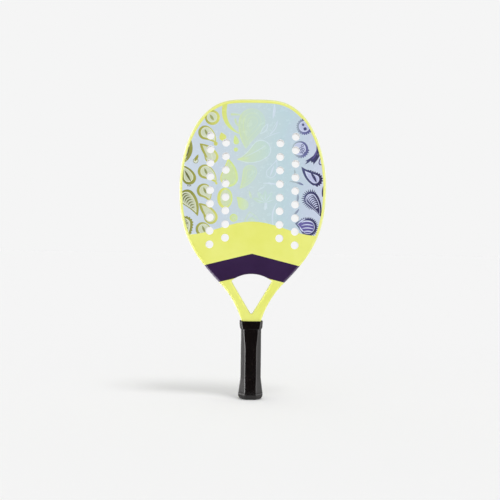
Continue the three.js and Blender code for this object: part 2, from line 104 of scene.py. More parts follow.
throat_top = bridge_high.z - BRIDGE_WIDTH
throat_tip = throat_top - THROAT_HEIGHT
leg_top = pallet_high.z - LEG_TAPER
bridge_centre = Vector((0, throat_top - BRIDGE_RADIUS))
seat_radius = BRIDGE_RADIUS + BRIDGE_WIDTH / 2
widest_height = mix(throat_top, racket_length, WIDEST_SHARE)

# Knots of the right half's outline: across, height and heading in degrees below level. A stretch
# leaves and meets its knots along their headings, pulled by these shares of its chord.
SHOULDER_WIDTH_SHARE = 0.655
SHOULDER_HEIGHT_SHARE = 0.845
ARM_WIDTH_SHARE = 0.4306
ARM_HEIGHT_SHARE = 0.7673
SHOULDER_HEADING = 44.25
ARM_HEADING = 134.85
shoulder_height = widest_height + SHOULDER_HEIGHT_SHARE * (racket_length - widest_height)
arm_height = throat_tip + ARM_HEIGHT_SHARE * (throat_top - throat_tip)
KNOTS = [
    (0, racket_length, 0),
    (head_half_width * SHOULDER_WIDTH_SHARE, shoulder_height, SHOULDER_HEADING),
    (head_half_width, widest_height, 90),
    (head_half_width * ARM_WIDTH_SHARE, arm_height, ARM_HEADING),
    (LEG_HALF_WIDTH, leg_top, 90),
]
PULL_SHARES = [(0.426, 0.393), (0.273, 0.392), (0.395, 0.426), (0.288, 0.347)]
STRETCH_STEPS = [30, 26, 40, 36]
ARM_STRETCH = 2
LEG_STRETCH = 3
EDGE_STEPS = 6
FLOOR_STEPS = 48

Station = namedtuple("Station", "place inward width half_depth edge_radius")


def smooth_share(value, low, high):
    share = min(1, max(0, (value - low) / (high - low)))
    return share * share * (3 - 2 * share)


def heading_vector(degrees):
    return unit(-math.radians(degrees))


def turned_right(direction):
    return Vector((direction.y, -direction.x))


def bezier(points, share):
    a, b, c, d = points
    rest = 1 - share
    place = a * rest**3 + b * 3 * rest**2 * share + c * 3 * rest * share**2 + d * share**3
    tangent = (b - a) * rest**2 + (c - b) * 2 * rest * share + (d - c) * share**2
    return place, tangent.normalized()


def stretch_points(index):
    (x0, z0, heading0), (x1, z1, heading1) = KNOTS[index], KNOTS[index + 1]
    start, end = Vector((x0, z0)), Vector((x1, z1))
    chord = (end - start).length
    start_pull, end_pull = PULL_SHARES[index]
    leave = start + heading_vector(heading0) * chord * start_pull
    arrive = end - heading_vector(heading1) * chord * end_pull
    return start, leave, arrive, end


def depth_at(height):
    in_handle = 1 - smooth_share(height, leg_top, collar_top)
    return mix(head_half_depth, LEG_HALF_DEPTH, in_handle)


def radius_at(height):
    in_handle = 1 - smooth_share(height, leg_top, collar_top)
    return mix(RIM_EDGE_RADIUS, LEG_EDGE_RADIUS, in_handle)


def reach_to_throat(place, inward):
    slope = math.tan(THROAT_HALF_ANGLE)
    side = place.x - slope * (place.y - throat_tip)
    return side / (slope * inward.y - inward.x)


def width_at(stretch, share, place, inward):
    if stretch < ARM_STRETCH:
        return FRAME_WIDTH
    if stretch == ARM_STRETCH:
        x, z, heading = KNOTS[LEG_STRETCH]
        arm_width = reach_to_throat(Vector((x, z)), turned_right(heading_vector(heading)))
        return mix(FRAME_WIDTH, arm_width, smooth_share(share, 0, 1))
    return reach_to_throat(place, inward)


def outline_stations():
    """Places along the right half's outline, from the crown down to the leg's end"""
    found = []
    for stretch, steps in enumerate(STRETCH_STEPS):
        for share in shares(steps)[1 if found else 0:]:
            place, tangent = bezier(stretch_points(stretch), share)
            inward = turned_right(tangent)
            width = width_at(stretch, share, place, inward)
            found.append(Station(place, inward, width, depth_at(place.y), radius_at(place.y)))
    last = found[-1]
    found.append(last._replace(place=Vector((last.place.x, leg_bottom))))
    return found


stations = outline_stations()


def mirrored(place):
    return Vector((-place.x, place.y))


def inset_place(station, inset):
    return station.place + station.inward * inset


def head_loop(inset_of, floor_radius):
    """A closed loop round the head at an inset from the outline, its lower end on the bridge's circle"""
    side = []
    before = None
    for station in stations:
        place = inset_place(station, inset_of(station))
        reach = (place - bridge_centre).length
        if reach < floor_radius:
            last_place, last_reach = before
            share = (last_reach - floor_radius) / (last_reach - reach)
            side.append(last_place.lerp(place, share))
            break
        side.append(place)
        before = (place, reach)
    corner = side[-1] - bridge_centre
    end = math.atan2(corner.y, corner.x)
    turns = [mix(end, math.pi - end, share) for share in shares(FLOOR_STEPS)[1:-1]]
    floor = [bridge_centre + unit(turn) * floor_radius for turn in turns]
    return side + floor + [mirrored(place) for place in reversed(side[1:])]


# Drilled holes, as the CAD part has them: two outer columns and two inner ones half a pitch higher
HOLE_RADIUS = 6 * MM
HOLE_PITCH = 21.7 * MM
HOLE_ROWS = 9
HOLE_SIDES = 40
HOLE_EDGE = 0.22 * MM
THROAT_HOLE_MARGIN = 46.7 * MM
SIDE_HOLE_MARGIN = 49.4 * MM
COLUMN_SPACING = 24.7 * MM


def hole_centres():
    lowest = throat_top + THROAT_HOLE_MARGIN
    outer = head_half_width - SIDE_HOLE_MARGIN
    inner = outer - COLUMN_SPACING
    found = []
    for side in (-1, 1):
        found += [Vector((side * outer, lowest + i * HOLE_PITCH)) for i in range(HOLE_ROWS)]
        found += [Vector((side * inner, lowest + (i + 0.5) * HOLE_PITCH)) for i in range(HOLE_ROWS - 1)]
    return found


def circle(centre, radius, sides=HOLE_SIDES):
    return [Vector(centre) + unit(2 * math.pi * i / sides) * radius for i in range(sides)]


holes = hole_centres()

# Points closer than these are one point, in a flat region and in a finished mesh
MERGE_GAP = 1e-7
WELD_GAP = 2e-7

# Edges that bend by more degrees than this stay sharp
HEAD_SHARP_ANGLE = 40
SLAB_SHARP_ANGLE = 30
SLEEVE_SHARP_ANGLE = 50


def turned_left(loop):
    """The loop run anticlockwise"""
    area = sum(a.x * b.y - b.x * a.y for a, b in zip(loop, loop[1:] + loop[:1]))
    return loop if area > 0 else list(reversed(loop))


def flat_triangles(outer, inner_loops, layers=()):
    """Triangles of a flat region with openings. Each comes with the number of the last layer over it."""
    places = []
    polygons = []
    for loop in [outer, *inner_loops, *[points for points, _ in layers]]:
        polygons.append(list(range(len(places), len(places) + len(loop))))
        places += turned_left(loop)
    found, _, faces, _, _, sources = delaunay_2d_cdt(places, [], polygons, 1, MERGE_GAP)
    first_layer = 1 + len(inner_loops)
    triangles = []
    for face, source in zip(faces, sources):
        if 0 not in source or any(0 < number < first_layer for number in source):
            continue
        over = [number - first_layer for number in source if number >= first_layer]
        triangles.append((face, max(over, default=-1)))
    return found, triangles


LEVEL_NORMAL = 0.9999
SAME_WAY = 0.5


def level_flats(data):
    """Flat front and back lead: the rounding beside them starts from their own direction"""
    level = {}
    for face in data.polygons:
        if abs(face.normal.y) > LEVEL_NORMAL:
            aim = Vector((0, math.copysign(1, face.normal.y), 0))
            level.update((vertex, aim) for vertex in face.vertices)
    untouched = Vector((0, 0, 0))
    normals = []
    for face in data.polygons:
        aims = [level.get(vertex, untouched) for vertex in face.vertices]
        normals += [aim if face.normal.dot(aim) > SAME_WAY else untouched for aim in aims]
    data.normals_split_custom_set(normals)


def linked(name, data):
    """A new object in the scene"""
    made = bpy.data.objects.new(name, data)
    bpy.context.scene.collection.objects.link(made)
    return made


def joined(name, mesh, materials, sharp_angle, levelled=False):
    """The finished object of a mesh in the making: welded, outward, smooth but for its sharp edges"""
    bmesh.ops.remove_doubles(mesh, verts=mesh.verts, dist=WELD_GAP)
    bmesh.ops.recalc_face_normals(mesh, faces=mesh.faces)
    for face in mesh.faces:
        face.smooth = True
    for edge in mesh.edges:
        edge.smooth = edge.calc_face_angle(0) < math.radians(sharp_angle)
    data = bpy.data.meshes.new(name)
    mesh.to_mesh(data)
    mesh.free()
    for material in materials:
        data.materials.append(material)
    if levelled:
        level_flats(data)
    return linked(name, data)


def add_flat(mesh, places, triangles, depth_of, slot_of=lambda layer: 0):
    """Adds flat triangles, each point at its own depth through the thickness"""
    corners = [mesh.verts.new((place.x, depth_of(place), place.y)) for place in places]
    for face, layer in triangles:
        made = mesh.faces.new([corners[i] for i in face])
        made.material_index = slot_of(layer)
    for corner in corners:
        if not corner.link_faces:
            mesh.verts.remove(corner)


def add_strip(mesh, rings, closed=True, slot=0):
    """Adds bands of faces between rings of points in space"""
    rows = [[mesh.verts.new(point) for point in ring] for ring in rings]
    count = len(rows[0])
    for lower, upper in zip(rows, rows[1:]):
        for i in range(count if closed else count - 1):
            j = (i + 1) % count
            face = mesh.faces.new((lower[i], lower[j], upper[j], upper[i]))
            face.material_index = slot
    return rows


def standing(loop, depth):
    return [(place.x, depth, place.y) for place in loop]


# Throat opening: an arc above, rounded corners, two straight sides and a tight tip
THROAT_ARC_STEPS = 24
THROAT_CORNER_STEPS = 10
THROAT_SIDE_STEPS = 24
THROAT_TIP_STEPS = 6


def arc(centre, radius, start, end, steps):
    """Points of an arc after its first, each with the direction away from the centre"""
    aways = [unit(mix(start, end, share)) for share in shares(steps)[1:]]
    return [(centre + away * radius, away) for away in aways]


def throat_loop():
    """Points of the opening with the direction out of it at each, once round"""
    slope = Vector((math.sin(THROAT_HALF_ANGLE), math.cos(THROAT_HALF_ANGLE)))
    outward = Vector((slope.y, -slope.x))
    tip = Vector((0, throat_tip))

    # Centre of the corner's arc: its own radius in from the straight side and from the arc above
    base = tip - outward * THROAT_CORNER_RADIUS
    limit = BRIDGE_RADIUS - THROAT_CORNER_RADIUS
    offset = base - bridge_centre
    along = offset.dot(slope)
    run = -along + math.sqrt(along**2 - offset.length_squared + limit**2)
    corner = base + slope * run
    arc_start = math.atan2(corner.y - bridge_centre.y, corner.x - bridge_centre.x)
    side_angle = math.atan2(outward.y, outward.x)
    tip_centre = Vector((0, throat_tip + THROAT_TIP_RADIUS / math.sin(THROAT_HALF_ANGLE)))

    side_start = corner + outward * THROAT_CORNER_RADIUS
    side_end = tip_centre + outward * THROAT_TIP_RADIUS
    side = [(side_start.lerp(side_end, share), outward) for share in shares(THROAT_SIDE_STEPS)[1:]]
    top = unit(math.pi / 2)
    half = [(bridge_centre + top * BRIDGE_RADIUS, top)]
    half += arc(bridge_centre, BRIDGE_RADIUS, math.pi / 2, arc_start, THROAT_ARC_STEPS)
    half += arc(corner, THROAT_CORNER_RADIUS, arc_start, side_angle, THROAT_CORNER_STEPS) + side
    half += arc(tip_centre, THROAT_TIP_RADIUS, side_angle, -math.pi / 2, THROAT_TIP_STEPS)
    other = [(mirrored(place), mirrored(away)) for place, away in reversed(half[1:-1])]
    return half + other


def throat_radius(place):
    above_tip = smooth_share(place.y, throat_tip, throat_tip + TIP_EDGE_REACH)
    return mix(TIP_EDGE_RADIUS, THROAT_EDGE_RADIUS, above_tip)


def rounded_edge(place, inward, radius, half_depth):
    """Points of the rounded edge at a place of an outline, from the front face round to the back"""
    front = []
    for share in shares(EDGE_STEPS):
        rise = unit(math.pi / 2 * (1 - share))
        spot = place + inward * (radius * (1 - rise.x))
        front.append((spot.x, radius * (1 - rise.y) - half_depth, spot.y))
    return front + [(x, -depth, z) for x, depth, z in reversed(front)]


skin_loop = head_loop(lambda station: rim_width, seat_radius)
core_loop = head_loop(lambda station: station.width, BRIDGE_RADIUS + BRIDGE_WIDTH)


def head_shell(lacquer):
    """The painted frame and bridge: outer rim, arms, throat wall and the seats for faces and core"""
    mesh = bmesh.new()
    right = [rounded_edge(spot.place, spot.inward, spot.edge_radius, spot.half_depth) for spot in stations]
    left = [[(-x, y, z) for x, y, z in points] for points in right]
    add_strip(mesh, list(reversed(left)) + right[1:], closed=False)

    flat_edge = [inset_place(station, station.edge_radius) for station in stations]
    outer = [mirrored(place) for place in reversed(flat_edge[1:])] + flat_edge
    throat = throat_loop()
    opening = [place + away * throat_radius(place) for place, away in throat]
    places, triangles = flat_triangles(outer, [skin_loop, opening])
    add_flat(mesh, places, triangles, lambda place: -depth_at(place.y))
    add_flat(mesh, places, triangles, lambda place: depth_at(place.y))

    wall = [rounded_edge(place, away, throat_radius(place), depth_at(place.y)) for place, away in throat]
    add_strip(mesh, wall + wall[:1], closed=False)

    for side in (-1, 1):
        seat_wall = [standing(skin_loop, side * depth) for depth in (head_half_depth, seat_depth)]
        add_strip(mesh, seat_wall)
        places, triangles = flat_triangles(skin_loop, [core_loop])
        add_flat(mesh, places, triangles, lambda place: side * seat_depth)
    add_strip(mesh, [standing(core_loop, -seat_depth), standing(core_loop, seat_depth)])

    foot = right[-1] + list(reversed(left[-1]))
    mesh.faces.new([mesh.verts.new(point) for point in foot])
    return joined("head_shell", mesh, [lacquer], HEAD_SHARP_ANGLE, levelled=True)


def drilled_slab(name, loop, front, back, edge, materials, layers=(), slot_of=lambda layer: 0, wall_slot=0):
    """A slab between two depths with the drilled holes, its outer side's hole edges eased"""
    mesh = bmesh.new()
    outward = -1 if front < back else 1
    rims = [circle(centre, HOLE_RADIUS + edge) for centre in holes]
    bores = [circle(centre, HOLE_RADIUS) for centre in holes]
    places, triangles = flat_triangles(loop, rims, layers)
    add_flat(mesh, places, triangles, lambda place: front, slot_of)
    places, triangles = flat_triangles(loop, bores)
    add_flat(mesh, places, triangles, lambda place: back, lambda layer: wall_slot)
    add_strip(mesh, [standing(loop, front), standing(loop, back)], slot=wall_slot)
    for rim, bore in zip(rims, bores):
        rings = [standing(rim, front)] if edge else []
        rings += [standing(bore, front - outward * edge), standing(bore, back)]
        add_strip(mesh, rings, slot=wall_slot)
    return joined(name, mesh, materials, SLAB_SHARP_ANGLE)


# Print: drops, rings and sprigs drawn in hundredths of the head's half width, measured from the
# middle of its widest place. Later motifs lie over earlier ones.
PRINT_UNIT = head_half_width / 100
PRINT_MIDDLE = 335.8 * MM
GROUND, INK, TINT, SEED, PALE, VIOLET, PAINT = range(7)
print_layers = []

# How a drop narrows, how far its lining's tip leans along, and how a fringe and a stack of scales run
DROP_TAPER = 1.5
DROP_STEPS = 22
BACK_STEPS = 20
TIP_LEAN = 0.4
FRINGE_STEPS = 8
FRINGE_FADE = 0.08
SPIKE_SLOPE = 1.3
STROKE_FULLNESS = 1.5
STROKE_STEPS = 16
RING_SIDES = 36
DOT_SIDES = 18
SCALE_STEPS = 12
SCALE_END = 0.6
SCALE_REACH = 0.86
SCALE_HALF_TURN = 1.15
SCALE_FORWARD = 0.45
SCALES_START = -0.12
SCALES_SPAN = 0.92


def draw(points, tone):
    print_layers.append((points, tone))


def curve_point(start, control, end, share):
    rest = 1 - share
    place = start * rest**2 + control * 2 * rest * share + end * share**2
    heading = ((control - start) * rest + (end - control) * share).normalized()
    return place, heading


def bent(start, end, bend):
    """Middle point that bends a stroke to its left by a share of its length"""
    along = end - start
    return start + along / 2 + Vector((-along.y, along.x)) * bend


def swept(start, control, end, shares_along, half_width_at):
    """The left and the right side of a bent stroke"""
    left, right = [], []
    for share in shares_along:
        place, heading = curve_point(start, control, end, share)
        side = Vector((-heading.y, heading.x)) * half_width_at(share)
        left.append(place + side)
        right.append(place - side)
    return left, right


def drop_outline(body, tip, radius, bend=0.0, inset=0.0):
    """A teardrop: a round body that narrows along a bent line to its tip"""
    body, tip = Vector(body), Vector(tip)
    control = bent(body, tip, bend)
    last = (1 - inset / radius) ** (1 / DROP_TAPER)
    along = [last * share for share in shares(DROP_STEPS)]
    left, right = swept(body, control, tip, along, lambda share: radius * (1 - share**DROP_TAPER) - inset)
    heading = control - body
    start = math.atan2(heading.x, -heading.y)
    back = [place for place, _ in arc(body, radius - inset, start, start + math.pi, BACK_STEPS)[:-1]]
    return back + right[:-1] + [left[-1]] + list(reversed(left[:-1]))


def fringed(outline, count, height, low=0.0, high=1.0, sharp=False):
    """An outline with scallops, or spikes, that stand out from part of its length"""
    closed = outline + outline[:1]
    lengths = [0.0]
    for a, b in zip(closed, closed[1:]):
        lengths.append(lengths[-1] + (b - a).length)
    area = sum(a.x * b.y - b.x * a.y for a, b in zip(closed, closed[1:]))
    fine = count * FRINGE_STEPS
    found = []
    index = 0
    for i in range(fine):
        share = i / fine
        target = share * lengths[-1]
        while lengths[index + 1] < target:
            index += 1
        a, b = closed[index], closed[index + 1]
        place = a.lerp(b, (target - lengths[index]) / (lengths[index + 1] - lengths[index]))
        normal = turned_right((b - a).normalized()) * (1 if area > 0 else -1)
        phase = share * count % 1
        bump = max(0, 1 - SPIKE_SLOPE * abs(2 * phase - 1)) if sharp else math.sin(math.pi * phase)
        if high - low < 1:
            bump *= smooth_share(share, low, low + FRINGE_FADE)
            bump *= 1 - smooth_share(share, high - FRINGE_FADE, high)
        found.append(place + normal * height * bump)
    return found


def drop(body, tip, radius, border, bend=0.0, lean=(0, 0), tones=(INK, TINT), lining=0.0):
    """A drop with a border, thicker on the side that the inner drop leans away from"""
    draw(drop_outline(body, tip, radius, bend), tones[0])
    moved = Vector(body) + Vector(lean)
    pointed = Vector(tip) + Vector(lean) * TIP_LEAN
    if lining:
        draw(drop_outline(moved, pointed, radius, bend, border), PALE)
    draw(drop_outline(moved, pointed, radius, bend, border + lining), tones[1])


def oval(centre, half_width, half_height):
    size = Vector((half_width, half_height))
    return [point * size + Vector(centre) for point in circle((0, 0), 1, RING_SIDES)]


def ring(centre, radius, border, lean=(0, 0), tones=(INK, TINT), sides=RING_SIDES):
    draw(circle(centre, radius, sides), tones[0])
    draw(circle(Vector(centre) + Vector(lean), radius - border, sides), tones[1])


def dot(centre, radius, tone):
    draw(circle(centre, radius, DOT_SIDES), tone)


def stroke(start, end, bend, widths, tone):
    """A tapering stroke with its width given at the start, the middle and the end"""
    start, end = Vector(start), Vector(end)
    first, middle, last = widths

    def half_width(share):
        swell = 2 * middle * share * (1 - share) * STROKE_FULLNESS
        return (first * (1 - share) ** 2 + swell + last * share**2) / 2

    left, right = swept(start, bent(start, end, bend), end, shares(STROKE_STEPS), half_width)
    draw(left + list(reversed(right)), tone)


def leaf(base, tip, width, tone, bend=0.0):
    stroke(base, tip, bend, (0.05, width, 0.05), tone)


def scale_arcs(body, tip, radius, count, tone, bend=0.0, width=0.9):
    """Stacked arcs across a drop's inside, smaller towards its tip"""
    body, tip = Vector(body), Vector(tip)
    control = bent(body, tip, bend)
    for i in range(count):
        share = SCALES_START + SCALES_SPAN * i / count
        place, heading = curve_point(body, control, tip, max(share, 0))
        if share < 0:
            place = body + heading * (tip - body).length * share
        reach = radius * (1 - max(share, 0) ** DROP_TAPER) * SCALE_REACH
        turn = math.atan2(heading.y, heading.x) + math.pi
        centre = place + heading * reach * SCALE_FORWARD
        outer, inner = [], []
        for j in range(SCALE_STEPS + 1):
            away = unit(turn + mix(-SCALE_HALF_TURN, SCALE_HALF_TURN, j / SCALE_STEPS))
            thick = width * math.sin(math.pi * (j + SCALE_END) / (SCALE_STEPS + 2 * SCALE_END))
            outer.append(centre + away * reach)
            inner.append(centre + away * (reach - thick))
        draw(outer + list(reversed(inner)), tone)


def hole_side_paisleys():
    """The paisleys that run down the left outer column of holes, two kinds in turn"""
    for body, tip, blob in (
        ((-65.5, 76.5), (-51, 61.5), 2.8),
        ((-65.5, 23.5), (-49.5, 7.5), 1.6),
        ((-66.5, -2.5), (-59, -17), 0),
        ((-67.5, -55), (-54, -70), 0),
    ):
        drop(body, tip, 9.6, 2.4, bend=0.2, lean=(1.2, 0.3), lining=0.9)
        leaf((body[0] - 0.6, body[1] + 4.6), (body[0] + 3.4, body[1] - 4.4), 4.0, SEED)
        if blob:
            dot(tip, blob, INK)
    for body, tip in (((-56.5, 43.5), (-72.5, 61.5)), ((-56.5, -38.5), (-73, -19.5))):
        drop(body, tip, 9.4, 2.4, bend=-0.16, lean=(-0.9, 0.2))
        stroke(tip, (body[0] - 6, body[1] - 1), -0.06, (0.5, 3.6, 1.4), INK)
        leaf((body[0] - 1, body[1] + 5), (body[0] + 2, body[1] - 4), 2.4, PALE)


def left_edge_motifs():
    ring((-56, 97), 10.2, 3.2, lean=(-0.5, 0.4), tones=(INK, PALE))
    dot((-56.5, 97.4), 6.0, TINT)
    leaf((-59.5, 101), (-54, 93), 4.6, SEED)
    stroke((-86, 68), (-93, 36), 0.26, (0.6, 6.2, 2.0), INK)
    stroke((-88, 60), (-92.5, 42), 0.22, (0.3, 2.4, 0.3), SEED)
    ring((-78, 38), 3.6, 0.7, tones=(SEED, PALE))
    leaf((-79.5, 37), (-74.5, 46.5), 5.2, INK)
    drop((-86.5, 14.5), (-97, 32), 9.4, 2.9, bend=-0.12, lean=(-0.9, 0.9), lining=1.0)
    leaf((-93, 25), (-84, 9.5), 3.8, SEED)
    for i in range(3):
        dot((-88.5 + 2 * i, 4.0 - 0.4 * (i % 2)), 0.8, SEED)
    drop((-89, -12), (-74.5, -37.5), 10.8, 2.6, bend=0.16, lean=(-1.2, -0.7), lining=0.9)
    scale_arcs((-90.5, -12.5), (-78, -34), 7.4, 7, SEED, bend=0.14, width=1.7)
    draw(fringed(drop_outline((-91, -48), (-86, -66), 9.6), 20, 1.5), INK)
    draw(drop_outline((-91.6, -48), (-87, -62), 7.2), PALE)
    draw(drop_outline((-91.8, -48), (-87.4, -60), 6.2), TINT)
    for i in range(5):
        ring((-91 + 1.8 * (i % 2), -43.5 - 3.4 * i), 1.6, 0.7, tones=(SEED, TINT), sides=14)


def inner_left_motifs():
    stroke((-38.5, 117), (-17.5, 75), -0.42, (6.4, 4.9, 0.8), INK)
    stroke((-31, 101.5), (-18, 101), 0.04, (2.6, 2.2, 1.0), TINT)
    stroke((-25, 96), (-14, 84), -0.42, (2.6, 2.2, 0.8), TINT)
    drop((-41.5, 70.5), (-44, 77), 4.8, 2.0, tones=(INK, INK))
    drop((-23, 64.5), (-25, 74), 3.8, 1.6, tones=(INK, INK))
    dot((-23.5, 53.8), 2.9, INK)
    drop((-32.2, 15.3), (-34.5, 42), 12.2, 2.3, bend=-0.12, lean=(-0.8, -0.1))
    draw(oval((-37.8, -12.4), 10.4, 14.2), INK)
    draw(oval((-36.6, -12.2), 7.4, 11.6), TINT)
    drop((-4, 23.5), (-18, 0.5), 9.8, 1.3, bend=0.14)
    drop((-3.5, 22.5), (-12, 8), 5.6, 1.0, bend=0.12)
    leaf((-5, -2), (-1.5, -13), 4.2, INK)
    drop((-12.5, -21), (-22, -10.5), 7.2, 0.9, bend=-0.1, tones=(INK, INK))
    ring((-25.5, -39), 5.4, 1.6)
    drop((-1, -44), (-4, -30), 10.4, 1.6, tones=(TINT, GROUND))
    dot((-1, -43), 5.0, TINT)


def centre_motifs():
    """Pale leaves and a large drop, hardly darker than the ground"""
    drop((-2, 92), (-10, 55), 18.0, 1.2, bend=-0.1, lean=(0.3, 0.2))
    drop((-1.5, 92), (-8, 66), 12.4, 1.2, bend=-0.1)
    drop((-1, 92), (-5, 78), 7.0, 1.0, bend=-0.1)
    drop((11, 54), (-22, 40.5), 13.2, 1.1, bend=0.2, tones=(PALE, TINT))
    leaf((-22, 40.5), (-4, 42.5), 5.0, INK)
    stroke((-12, 44), (17, 60), -0.06, (0.4, 1.1, 0.6), PALE)
    for base, tip, width in (((9, 75), (20, 90), 8.0), ((22, 74), (33, 94), 5.0), ((26, 96), (28, 117), 5.0)):
        leaf(base, tip, width, PALE, bend=-0.1)
    leaf((10.5, 77), (18.5, 88), 4.4, GROUND, bend=-0.1)
    leaf((23.5, 77), (31.5, 91), 2.4, GROUND, bend=-0.1)
    stroke((14, 69), (36, 78), 0.06, (0.5, 1.2, 0.4), PALE)
    drop((24.5, 22.5), (32, 41), 6.8, 1.2, bend=-0.1, tones=(PALE, GROUND))
    leaf((23, 17), (28.5, 33), 3.0, PALE)
    stroke((14, 8.5), (36, 6.5), 0.06, (0.8, 2.6, 0.8), PALE)
    stroke((7, -2), (16, 3.5), 0.1, (0.6, 2.4, 0.6), PALE)
    base = Vector((17, -18))
    for degrees in (20, 55, 90, 125, 160):
        away = unit(math.radians(degrees))
        leaf(base, base + away * 18, 8.0, TINT)
        leaf(base, base + away * 13, 1.4, PALE)
    stroke((18, -18), (17, -28), 0.1, (3.0, 3.4, 1.6), PALE)
    stroke((33, -18), (29, -50), -0.22, (0.6, 2.2, 0.8), PALE)


def right_motifs():
    draw(fringed(circle((69.5, 86), 9.8, 44), 22, 1.7), INK)
    dot((69.2, 86.2), 7.5, PALE)
    dot((69.2, 86.2), 6.6, TINT)
    dot((67.4, 88.6), 1.8, SEED)
    dot((70.2, 83.0), 2.3, SEED)
    draw(fringed(circle((63.8, 55.4), 11.0, 48), 24, 1.7, low=0.66, high=1.3), INK)
    dot((62.9, 55.6), 8.7, PALE)
    dot((62.7, 55.6), 7.8, TINT)
    for spot in ((66.8, 60.2), (64.6, 56.4), (68.0, 55.0), (64.8, 51.8), (68.4, 50.6)):
        ring(spot, 1.9, 0.75, tones=(SEED, TINT), sides=16)
    tassel()
    drop((92.3, 37), (91.3, 44), 3.2, 1.2, tones=(SEED, TINT))
    outline = drop_outline((85.2, 14.2), (65.8, 31.6), 8.4, bend=0.14)
    draw(fringed(outline, 26, 1.9, low=-0.02, high=0.52), SEED)
    draw(drop_outline((84.6, 14.8), (68, 29.6), 8.0, bend=0.14, inset=2.2), PALE)
    draw(drop_outline((84.6, 14.8), (69.5, 28.2), 8.0, bend=0.14, inset=3.2), TINT)
    leaf((78.2, 24.0), (86.8, 9.8), 4.6, SEED, bend=0.08)
    dot((84.2, 5.4), 1.1, PALE)
    stroke((95.6, 5), (94.8, -9), 0.12, (0.6, 5.0, 0.8), SEED)
    spiky_drop()
    shell()
    for start, end, bend, width in (
        ((56.4, 27.5), (56.8, 20.5), 0.1, 2.6),
        ((50, 11.5), (62, 9), 0.08, 2.2),
        ((58, 10), (69, 6.4), 0.1, 3.6),
        ((61.5, -5.5), (60.8, -17), 0.05, 3.8),
        ((63, -26), (55.5, -34.5), 0.12, 3.4),
    ):
        stroke(start, end, bend, (0.6, width, 0.4), INK)


def tassel():
    """A tuft that hangs from the right edge and ends in ragged prongs"""
    shape = [
        (86.6, 63.5), (89.6, 58.6), (91.4, 53.0), (90.6, 46.6), (87.6, 41.4), (84.0, 36.8), (82.2, 34.4),
        (81.6, 38.6), (79.6, 36.8), (78.6, 39.8), (75.4, 37.2), (70.2, 34.4), (73.6, 38.6), (71.2, 39.2),
        (77.0, 43.0), (82.0, 46.8), (85.6, 53.0),
    ]
    draw([Vector(point) for point in shape], SEED)
    stroke((86.5, 57), (80.5, 42), 0.2, (0.5, 2.2, 0.6), VIOLET)


def spiky_drop():
    """A drop with rays round its upper left side and light crescents stacked in its dark inside"""
    outline = drop_outline((80, -12), (93, -36.5), 9.6, bend=0.12)
    draw(fringed(outline, 40, 4.6, low=-0.02, high=0.48, sharp=True), SEED)
    draw(outline, SEED)
    draw(drop_outline((79.4, -12.6), (91.4, -34), 7.4, bend=0.12), PALE)
    draw(drop_outline((79.4, -12.8), (91.0, -33), 6.4, bend=0.12), SEED)
    scale_arcs((79.4, -12.4), (90, -31), 6.6, 8, PALE, bend=0.12, width=1.5)


def shell():
    """A round shell with a toothed rim and waves inside"""
    centre = Vector((75.6, -50.5))
    outline = drop_outline(centre, (58, -46), 12.0, bend=-0.1)
    draw(fringed(outline, 34, 2.6, low=-0.02, high=0.66, sharp=True), SEED)
    draw(drop_outline(centre, (61, -46.5), 9.2, bend=-0.1), PALE)
    draw(drop_outline(centre, (61.5, -46.5), 8.5, bend=-0.1), VIOLET)
    for start, end, bend in (
        ((67, -44.5), (82.0, -44.5), 0.26),
        ((67, -48.6), (83.0, -48.8), 0.2),
        ((68, -52.6), (83.0, -53.0), 0.16),
        ((70, -56.6), (82.0, -57.0), 0.12),
    ):
        stroke(start, end, bend, (0.5, 1.7, 0.6), PALE)
    stroke((62, -46), (72, -39.5), 0.1, (0.6, 1.8, 0.6), PALE)
    stroke((64.5, -50.5), (69, -57), -0.1, (0.5, 1.6, 0.5), PALE)


# Painted areas under and round the print: rim at the crown, and the band with its wavy upper edge
SIDE_RIM = 4.2 * MM
CROWN_RIM = 6.0 * MM
BAND_TOP = 284.3 * MM
BAND_DROP = 10.9 * MM
BAND_HALF_WAVE = 105 * MM
BAND_STEPS = 60
BAND_FOOT = 10 * MM

# Under the band the field keeps the rim's full width: how far below the band's lowest edge that starts
# to change, and where it has changed
RIM_CHANGE_START = 24 * MM
RIM_CHANGE_END = 2 * MM


def band_edge(across):
    return BAND_TOP - BAND_DROP * (1 - math.cos(math.pi * across / BAND_HALF_WAVE))


def print_field():
    """Where the print lies, and the painted band that covers its lower part"""
    hidden = BAND_TOP - 2 * BAND_DROP

    def inset(station):
        height = station.place.y
        shown = mix(SIDE_RIM, CROWN_RIM, smooth_share(height, widest_height, racket_length))
        change = smooth_share(height, hidden - RIM_CHANGE_START, hidden - RIM_CHANGE_END)
        return mix(rim_width, shown, change)

    field = head_loop(inset, seat_radius)
    reach = head_half_width
    across = [mix(-reach, reach, share) for share in shares(BAND_STEPS)]
    band = [Vector((x, band_edge(x))) for x in across]
    floor = bridge_low.z - BAND_FOOT
    return field, band + [Vector((reach, floor)), Vector((-reach, floor))]


def in_metres(points):
    return [Vector((0, PRINT_MIDDLE)) + point * PRINT_UNIT for point in points]


def face_layers(side):
    """Layers of one face's print, turned so that each side reads the same way round"""
    field, band = print_field()
    layers = [(field, GROUND)]
    layers += [(in_metres(points), tone) for points, tone in print_layers]
    layers.append((band, PAINT))
    if side > 0:
        layers = [([mirrored(point) for point in points], tone) for points, tone in layers]
    return layers


def drawn_print():
    centre_motifs()
    inner_left_motifs()
    hole_side_paisleys()
    left_edge_motifs()
    right_motifs()


# Handle sections: eight sides with rounded corners
CORNER_STEPS = 5


